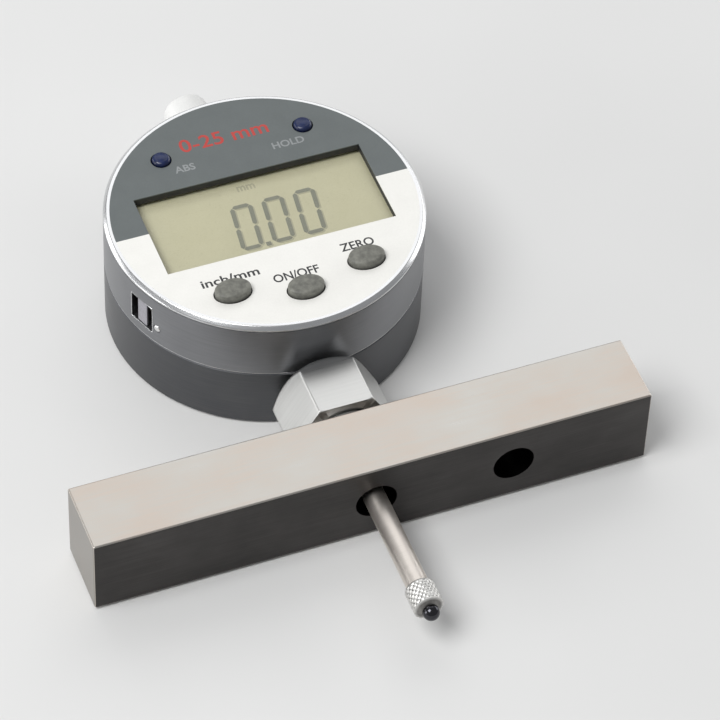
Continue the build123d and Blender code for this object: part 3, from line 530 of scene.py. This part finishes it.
finish_cad_nodes()


# ---- pieces rebuilt as surfaces ------------------------------------------------------------------
def grid_piece(name, points, node, body, slot_name, wrap_rows=True, smooth=40.0):
    """A grid of points, closed round its columns, that stands for a CAD node. A section that isn't closed
    (wrap_rows False) begins and ends on the axis, where its points merge into a pole."""
    rows, columns = points.shape[:2]
    quads = grid_quads(rows, columns, wrap_rows)
    make_piece(name, points, quads, body, MATERIALS[slot_name], (node,), smooth)


def soft_minimum(values, softness):
    """The least of several arrays, rounded where two of them cross: -k log(sum(exp(-v / k)))."""
    stack = np.stack(np.broadcast_arrays(*values))
    least = stack.min(0)
    return least - softness * np.log(np.exp(-(stack - least) / softness).sum(0))


def rim():
    """The bevelled ring round the face: a section with rounded corners turned about the head's axis."""
    low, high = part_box("bezel_ring")
    foot_r = HEAD_R - RIM_STEP
    foot_z = low.z + RIM_STEP
    corners = [(LABEL_R, low.z), (foot_r, low.z), (foot_r, foot_z), (HEAD_R, foot_z),
               (HEAD_R, high.z - RIM_BEVEL), (HEAD_R - RIM_BEVEL, high.z), (LABEL_R, high.z)]
    section = rounded(corners, [0, 0, 0, RIM_SIDE_ROUND, RIM_OUTER_ROUND, RIM_INNER_ROUND, 0], 7)
    points = revolved(section, ROUND_COLUMNS, (HEAD_X, HEAD_Y))
    grid_piece("face_rim", points, "bezel_ring", "display_head", "rim_white")


def key_cap(node, slot_name):
    """A key's cap: an ellipse that shrinks by a rounded profile. Its side is upright, its edge is a quarter
    circle, and its top rises by the crown times one minus the radius squared."""
    low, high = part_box(node)
    top = high.z
    half_x, half_y = KEY_HALVES[slot_name]
    edge = KEY_EDGE[slot_name]
    crown = KEY_CROWN[slot_name]
    middle = ((low.x + high.x) / 2, (low.y + high.y) / 2)
    bottom = FACE_Z - KEY_SUNK
    turn = np.linspace(0, math.pi / 2, 9)
    inside = np.linspace(1, 0, 12)[1:]
    inset = np.concatenate([[half_y, 0], edge * (1 - np.cos(turn)), half_y - (half_y - edge) * inside])
    shoulder = top - crown - edge
    height = np.concatenate([[bottom, bottom], shoulder + edge * np.sin(turn), top - crown * inside ** 2])
    angle = np.linspace(0, 2 * math.pi, 72, endpoint=False)
    share = 1 - inset / half_y
    x = middle[0] + np.outer(half_x * share, np.cos(angle))
    y = middle[1] + np.outer(half_y * share, np.sin(angle))
    z = np.repeat(height[:, None], len(angle), 1)
    grid_piece(node + "_cap", np.stack([x, y, z], -1), node, node + "_button", slot_name, wrap_rows=False)


def clamp_nut():
    """The hexagon nut about Y. Outside, its radius at an angle and height is the soft least of the distances
    to its flats, to the cone at the head's end and to a small chamfer at the bar's end; the section then
    crosses the end face, comes back through the bore and closes. A flat that faces away from an angle is kept
    far out there by a least cosine."""
    low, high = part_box("clamp_nut")
    apothem = (high.z - low.z) / 2
    corner = apothem / math.cos(math.pi / 6)
    angle = np.linspace(0, 2 * math.pi, NUT_COLUMNS, endpoint=False)
    toward = [np.cos(angle - index * math.pi / 3) for index in range(6)]
    flats = [apothem / np.maximum(cosine, NUT_LEAST_COSINE) for cosine in toward]
    hexagon = soft_minimum(flats, NUT_CORNER_ROUND)
    share = (1 - np.cos(np.linspace(0, math.pi, 60))) / 2
    height = low.y + (high.y - low.y) * share
    cone = corner + (NUT_COLLAR_R - corner) * (height - NUT_CONE_Y) / (high.y - NUT_CONE_Y)
    chamfer = corner - NUT_CHAMFER + (height - low.y) * NUT_CHAMFER_SLOPE
    outer = soft_minimum([hexagon[None, :], cone[:, None], chamfer[:, None]], NUT_CONE_ROUND)
    bore = np.array([(NUT_BORE_R, high.y), (NUT_BORE_R, NUT_CONE_Y),
                     (COLLET_R, NUT_CONE_Y), (COLLET_R, low.y)])
    radius = np.concatenate([outer, np.repeat(bore[:, :1], len(angle), 1)])
    level = np.concatenate([height, bore[:, 1]])
    x = radius * np.sin(angle)
    z = radius * np.cos(angle)
    y = np.repeat(level[:, None], len(angle), 1)
    grid_piece("clamp_nut_hexagon", np.stack([x, y, z], -1), "clamp_nut", "nut", "chrome_plate", smooth=50.0)


def contact_point():
    """The screw-in contact about Y: its section is a short cone and a grip with a rounded shoulder, and the
    grip's radius is cut by two crossing sets of grooves, depth * (1 - |sin(a + b) sin(a - b)| ^ sharpness),
    where a goes round it and b goes along it. The grooves run out over the grip's lower edge, so that edge is
    toothed, and fade on the shoulder."""
    low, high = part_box("contact_point")
    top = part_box("spindle")[0].y
    grip = (high.x - low.x) / 2
    edge = low.y + CONE_HEIGHT
    shoulder = top - GRIP_SHOULDER - GRIP_OVERLAP
    cone = np.array([(0, low.y), (CONE_TIP_R, low.y), (grip - CONE_LEDGE, edge - CONE_LIP)])
    climb = np.linspace(edge, shoulder, 72)
    crown = rounded([(grip, shoulder), (grip, top), (0, top)], [0, GRIP_SHOULDER, 0], 9)
    section = np.concatenate([cone, np.column_stack([np.full(len(climb), grip), climb]), crown])
    points = revolved(section, KNURL_COLUMNS, (0, 0), "y")
    angle = np.linspace(0, 2 * math.pi, KNURL_COLUMNS, endpoint=False)[None, :]
    height = section[:, 1][:, None]
    rise = np.clip((height - edge + KNURL_START) / KNURL_START, 0, 1)
    fade = np.clip((shoulder + KNURL_OVER_SHOULDER - height) / KNURL_RUN_OUT, 0, 1)
    a = angle * KNURL_TEETH / 2
    b = height * KNURL_TEETH / (2 * grip)
    crossing = np.abs(np.sin(a + b) * np.sin(a - b)) ** KNURL_SHARPNESS
    cut = KNURL_DEPTH * (1 - crossing) * rise * fade
    share = 1 - cut / np.maximum(section[:, 0][:, None], 1e-6)
    points[..., 0] *= share
    points[..., 2] *= share
    grid_piece("contact_grip", points, "contact_point", "plunger", "contact_steel", False, 60.0)


def dust_cap():
    """The cap over the spindle's free end, about Y: a rounded end, a wall and a shallow finger groove."""
    low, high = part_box("dust_cap")
    radius = (high.x - low.x) / 2
    bore = (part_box("top_bush")[1].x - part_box("top_bush")[0].x) / 2
    groove = low.y + CAP_GROOVE_Y
    floor_r = radius - CAP_GROOVE_DEPTH
    corners = [(bore, low.y), (radius, low.y), (radius, groove), (floor_r, groove + CAP_GROOVE_DEPTH),
               (floor_r, groove + CAP_GROOVE_FLAT_END), (radius, groove + CAP_GROOVE_END),
               (radius, high.y), (0, high.y)]
    section = rounded(corners, [0, CAP_FOOT_ROUND] + [CAP_GROOVE_ROUND] * 4 + [CAP_END_ROUND, 0], 7)
    roof = high.y - CAP_ROOF
    section = np.concatenate([section, [(0, roof), (bore, roof)]])
    points = revolved(section, 128, (0, 0), "y")
    grid_piece("spindle_dust_cap", points, "dust_cap", "gauge_frame", "pale_plastic")


def port_lip():
    """The thin raised lip round the data port: a rounded rectangle wrapped on the head's side, with a small
    round section carried along it."""
    half = PORT_WIDTH / 2
    corners = [(-half, PORT_LOW), (half, PORT_LOW), (half, PORT_HIGH), (-half, PORT_HIGH)]
    outline = rounded(corners, [PORT_CORNER] * 4)
    turn = math.radians(PORT_ANGLE) + outline[:, 0] / HEAD_R
    inward = np.array([0, (PORT_LOW + PORT_HIGH) / 2]) - outline
    inward /= np.linalg.norm(inward, axis=1)[:, None]
    round_angle = np.linspace(0, 2 * math.pi, 10, endpoint=False)
    out = HEAD_R + LIP_R * np.sin(round_angle)[None, :]
    side = LIP_R * np.cos(round_angle)[None, :]
    angle = turn[:, None] + inward[:, :1] * side / HEAD_R
    x = HEAD_X + out * np.cos(angle)
    y = HEAD_Y + out * np.sin(angle)
    z = outline[:, 1][:, None] + inward[:, 1:] * side
    points = np.stack([x, y, z], -1)
    quads = grid_quads(*points.shape[:2], wrap_rows=True)
    make_piece("port_lip", points, quads, "display_head", MATERIALS["rim_white"])


def seam_ring():
    """The bright rounded edge at the foot of the turning shell: a small circle turned about the head's
    axis."""
    angle = np.linspace(0, 2 * math.pi, 12, endpoint=False)
    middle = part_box("front_housing")[0].z + SEAM_RING_R
    radius = HEAD_R - SEAM_RING_R
    section = np.column_stack([radius + SEAM_RING_R * np.cos(angle), middle + SEAM_RING_R * np.sin(angle)])
    points = revolved(section, ROUND_COLUMNS, (HEAD_X, HEAD_Y))
    quads = grid_quads(*points.shape[:2], wrap_rows=True)
    make_piece("seam_ring", points, quads, "display_head", MATERIALS["rim_white"])


def port_screw():
    """The domed screw beside the port: a profile of (radius, reach) turned about the line that points out of
    the head at its angle, with its reach measured from the head's axis."""
    dome = np.linspace(0, math.pi / 2, 8)
    radius = np.concatenate([[0, PORT_SHANK_R, PORT_SHANK_R], PORT_SCREW_R * np.cos(dome)])
    shank = [-PORT_SHANK_END, -PORT_SHANK_END, -PORT_SHANK_START]
    reach = HEAD_R + np.concatenate([shank, PORT_SCREW_RISE * np.sin(dome) - PORT_SCREW_SUNK])
    turn = np.linspace(0, 2 * math.pi, 32, endpoint=False)
    side = np.outer(radius, np.cos(turn))
    up = np.outer(radius, np.sin(turn))
    out = np.repeat(reach[:, None], len(turn), 1)
    a = math.radians(PORT_SCREW_ANGLE)
    x = HEAD_X + out * math.cos(a) - side * math.sin(a)
    y = HEAD_Y + out * math.sin(a) + side * math.cos(a)
    points = np.stack([x, y, PORT_SCREW_Z + up], -1)
    grid_piece("port_screw_dome", points, "port_screw", "display_head", "screw_steel", wrap_rows=False)


rim()
seam_ring()
port_screw()
for key in ("key_unit", "key_power", "key_zero"):
    key_cap(key, "key_grey")
for key in ("key_absolute", "key_hold"):
    key_cap(key, "key_navy")
clamp_nut()
contact_point()
dust_cap()
port_lip()


# ---- display digits and printed marks ------------------------------------------------------------
def slab(name, outlines, low, high, body, material):
    """Flat outlines pulled straight up from low to high: each outline's bottom, top and side quads."""
    points = []
    faces = []
    start = 0
    for outline in outlines:
        outline = np.asarray(outline, float)
        count = len(outline)
        for level in (low, high):
            points.append(np.column_stack([outline, np.full(count, level)]))
        ring = np.arange(count)
        nxt = (ring + 1) % count
        sides = [start + ring, start + nxt, start + count + nxt, start + count + ring]
        faces.extend(np.stack(sides, -1).tolist())
        faces.append((start + ring[::-1]).tolist())
        faces.append((start + count + ring).tolist())
        start += 2 * count
    mesh = bpy.data.meshes.new(name)
    mesh.from_pydata(np.concatenate(points).tolist(), [], faces)
    work = bmesh.new()
    work.from_mesh(mesh)
    bmesh.ops.recalc_face_normals(work, faces=work.faces)
    work.to_mesh(mesh)
    work.free()
    mesh.materials.append(material)
    piece = bpy.data.objects.new(name, mesh)
    bpy.context.scene.collection.objects.link(piece)
    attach(piece, body)


def bar_segment(start, end, width):
    """A segment of a digit: a long hexagon, pointed at both ends."""
    start = np.asarray(start, float)
    end = np.asarray(end, float)
    along = (end - start) / np.linalg.norm(end - start)
    across = np.array([-along[1], along[0]]) * width / 2
    first = start + along * width / 2
    last = end - along * width / 2
    return [start, first + across, last + across, end, last - across, first - across]


def zero_outlines(left, bottom, wide, tall, width, slant):
    """The six lit segments of a seven-segment zero, leaning by slant times the height."""
    gap = width * DIGIT_GAP_SHARE

    def lean(x, y):
        return (left + x + slant * y, bottom + y)

    corners = [(0, 0), (wide, 0), (wide, tall / 2), (wide, tall), (0, tall), (0, tall / 2)]
    segments = []
    for a, b in zip(corners, corners[1:] + corners[:1]):
        a = np.array(a, float)
        b = np.array(b, float)
        step = (b - a) / np.linalg.norm(b - a) * gap
        segments.append(bar_segment(lean(*(a + step)), lean(*(b - step)), width))
    return segments


# The reading on the display, and its unit: the unit is (x from the head's axis, y from it, width, height).
GLASS_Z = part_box("display_panel")[1].z
DIGIT_COUNT = 3
DIGIT_HIGH = 10.0 * MM
DIGIT_WIDE = 3.35 * MM
DIGIT_PITCH = 5.9 * MM
DIGIT_STROKE = 0.82 * MM
DIGIT_GAP_SHARE = 0.12
DIGIT_LEAN = 0.126
DIGIT_LEFT = HEAD_X - 6.1 * MM
DIGIT_BOTTOM = HEAD_Y - 6.2 * MM
POINT_HALF = 0.45 * MM
POINT_DROP = 0.1 * MM
UNIT_PLACE = (-0.7 * MM, 7.9 * MM, 3.4 * MM, 1.3 * MM)
SEGMENT_THICK = 0.03 * MM
SHADOW_SHIFT = (0.22 * MM, -0.3 * MM)

# Printing: how thick the ink lies, how much bolder than the plain type it is, and the size of the type
# before it is fitted, as a share of the height that is asked for.
INK_THICK = 0.004 * MM
TYPE_BOLD = 0.05 * MM
TYPE_SHARE = 1.4


def display_digits():
    """A reading of 0.00 with its decimal point. Under it lies its own faint shadow on the reflector,
    shifted by the depth of the cell."""
    outlines = []
    for index in range(DIGIT_COUNT):
        left = DIGIT_LEFT + index * DIGIT_PITCH
        outlines += zero_outlines(left, DIGIT_BOTTOM, DIGIT_WIDE, DIGIT_HIGH, DIGIT_STROKE, DIGIT_LEAN)
    x = DIGIT_LEFT + (DIGIT_WIDE + DIGIT_PITCH) / 2
    y = DIGIT_BOTTOM - POINT_DROP
    half = POINT_HALF
    outlines.append([(x - half, y - half), (x + half, y - half), (x + half, y + half), (x - half, y + half)])
    lit = liquid_crystal("liquid_crystal_segment", "#84877F", "#8B8E86")
    shade = liquid_crystal("segment_shadow", "#B3B2A0", "#B9B8A5")
    level = GLASS_Z + SEGMENT_THICK
    shadows = [np.asarray(outline, float) + SHADOW_SHIFT for outline in outlines]
    slab("digit_shadows", shadows, GLASS_Z, level, "display_head", shade)
    slab("display_digits", outlines, level, level + SEGMENT_THICK, "display_head", lit)
    printed_text("display_unit", "mm", UNIT_PLACE, GLASS_Z, shade)


def liquid_crystal(name, dark, light):
    """Liquid crystal that has turned dark, or its shadow: a matt grey that varies a little."""
    material, tree, surface = new_material(name, Roughness=0.35, IOR=1.5)
    colour_from(tree, surface, noise(tree, place(tree), 2.0), "Fac", [(0.3, dark), (0.7, light)])
    return material


def printed_text(name, words, spot, level, material):
    """Words in the plain built-in type, made a thin mesh, fitted to a width and height about their middle and
    laid at a level. The spot is (x from the head's axis, y from it, width, height)."""
    x, y, wide, tall = spot
    curve = bpy.data.curves.new(name, "FONT")
    curve.body = words
    curve.size = tall * TYPE_SHARE
    curve.extrude = INK_THICK
    curve.offset = TYPE_BOLD
    curve.resolution_u = 4
    source = bpy.data.objects.new(name + "_type", curve)
    bpy.context.scene.collection.objects.link(source)
    bpy.context.view_layer.update()
    evaluated = source.evaluated_get(bpy.context.evaluated_depsgraph_get())
    mesh = bpy.data.meshes.new_from_object(evaluated)
    bpy.data.objects.remove(source)
    points = np.zeros(len(mesh.vertices) * 3)
    mesh.vertices.foreach_get("co", points)
    points = points.reshape(-1, 3)
    low = points.min(0)
    high = points.max(0)
    points -= (low + high) / 2
    points[:, 0] *= wide / (high[0] - low[0])
    points[:, 1] *= tall / (high[1] - low[1])
    points += (HEAD_X + x, HEAD_Y + y, level)
    mesh.vertices.foreach_set("co", points.ravel())
    mesh.materials.clear()
    mesh.materials.append(material)
    piece = bpy.data.objects.new(name, mesh)
    bpy.context.scene.collection.objects.link(piece)
    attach(piece, "display_head")


def printing_ink(name, dark, light):
    """Screen-printed ink on a label: thin, matt and slightly uneven."""
    return moulded_plastic(name, dark, light, 0.5, 0.15, 0.002)


def printed_marks():
    """The words beside the keys and the range, each with its spot in millimetres, its ink and its label."""
    black = printing_ink("black_ink", "#2A2B2C", "#353637")
    pale = printing_ink("pale_grey_ink", "#86898A", "#919495")
    red = printing_ink("red_ink", "#AE3730", "#B9403A")
    marks = (
        ("mark_unit", "inch/mm", (-11.4, -13.7, 10.6, 1.9), black, "label_white"),
        ("mark_power", "ON/OFF", (-0.2, -16.6, 8.4, 1.9), black, "label_white"),
        ("mark_zero", "ZERO", (12.3, -13.5, 6.2, 1.9), black, "label_white"),
        ("mark_absolute", "ABS", (-10.1, 13.9, 3.8, 1.65), pale, "label_grey"),
        ("mark_hold", "HOLD", (9.5, 13.9, 6.0, 1.65), pale, "label_grey"),
        ("mark_range", "0-25 mm", (-1.0, 19.1, 16.6, 3.2), red, "label_grey"),
    )
    for name, words, spot, ink, slot_name in marks:
        printed_text(name, words, [value * MM for value in spot], FACE_Z, ink)


display_digits()
printed_marks()


# ---- stage, light and camera, with lengths in metres and light power in watts --------------------
FLOOR_HALF = 3.0
FLOOR_GAP = 0.05 * MM
LIGHTS = (
    # name, place, (width, height), power
    ("softbox_behind", (0.25, 0.95, 1.0), (1.3, 0.9), 4.0),
    ("softbox_key", (-0.55, -0.12, 1.0), (0.6, 0.6), 9.6),
    ("softbox_left_behind", (-0.62, 0.5, 0.12), (0.5, 0.22), 0.9),
    ("softbox_left", (-0.8, 0.08, 0.15), (0.3, 0.3), 1.2),
    ("softbox_right", (0.85, 0.35, 0.2), (0.8, 0.4), 2.2),
)
ROOM_COLOUR = "#C4C5C7"
ROOM_STRENGTH = 0.58


def floor():
    """A pale seamless floor just under the lowest point of the object."""
    mesh = bpy.data.meshes.new("floor")
    size = FLOOR_HALF
    z = BACK_Z - FLOOR_GAP
    corners = [(-size, -size, z), (size, -size, z), (size, size, z), (-size, size, z)]
    mesh.from_pydata(corners, [], [(0, 1, 2, 3)])
    piece = bpy.data.objects.new("floor", mesh)
    bpy.context.scene.collection.objects.link(piece)
    material, tree, surface = new_material("pale_studio_paper", Roughness=0.75)
    colour_from(tree, surface, noise(tree, place(tree), 60.0), "Fac", [(0.3, "#D9D9D8"), (0.7, "#DCDCDB")])
    mesh.materials.append(material)


def area_light(name, position, target, size, power):
    """A white rectangular light that points at a target."""
    light = bpy.data.lights.new(name, "AREA")
    light.shape = "RECTANGLE"
    light.size, light.size_y = size
    light.energy = power
    lamp = bpy.data.objects.new(name, light)
    bpy.context.scene.collection.objects.link(lamp)
    lamp.location = position
    lamp.rotation_euler = (Vector(target) - Vector(position)).to_track_quat("-Z", "Y").to_euler()


def studio():
    """Soft lights and a plain grey room. The one behind is what the upward faces mirror; the key, above and
    to the left, lights the floor and the plastics; low ones on both sides brighten the rim, the nut and the
    housings."""
    centre = (CAD_BOX[0] + CAD_BOX[1]) / 2
    for name, position, size, power in LIGHTS:
        area_light(name, position, centre, size, power)
    world = bpy.data.worlds.new("studio_room")
    bpy.context.scene.world = world
    world.use_nodes = True
    background = world.node_tree.nodes["Background"]
    background.inputs["Color"].default_value = linear(ROOM_COLOUR)
    background.inputs["Strength"].default_value = ROOM_STRENGTH
    bpy.context.scene.view_settings.view_transform = "Standard"


# The camera: angles in degrees, its distance in metres, its lens and sensor in millimetres.
CAMERA_TARGET = (7.4 * MM, 27.7 * MM, 4.0 * MM)
CAMERA_AZIMUTH = -22.8
CAMERA_ELEVATION = 48.6
CAMERA_ROLL = -2.6
CAMERA_DISTANCE = 0.700
CAMERA_LENS = 200.0
CAMERA_SENSOR = 36.0
CAMERA_NEAR = 0.01


def camera():
    """A long lens from the front left, at the azimuth and elevation above, rolled a little."""
    data = bpy.data.cameras.new("camera")
    data.lens = CAMERA_LENS
    data.sensor_width = CAMERA_SENSOR
    data.clip_start = CAMERA_NEAR
    item = bpy.data.objects.new("camera", data)
    bpy.context.scene.collection.objects.link(item)
    azimuth = math.radians(CAMERA_AZIMUTH)
    elevation = math.radians(CAMERA_ELEVATION)
    level = math.cos(elevation)
    back = Vector((math.sin(azimuth) * level, -math.cos(azimuth) * level, math.sin(elevation)))
    turn = (-back).to_track_quat("-Z", "Y").to_matrix() @ Matrix.Rotation(math.radians(-CAMERA_ROLL), 3, "Z")
    item.matrix_world = Matrix.Translation(Vector(CAMERA_TARGET) + back * CAMERA_DISTANCE) @ turn.to_4x4()
    bpy.context.scene.camera = item


floor()
studio()
camera()
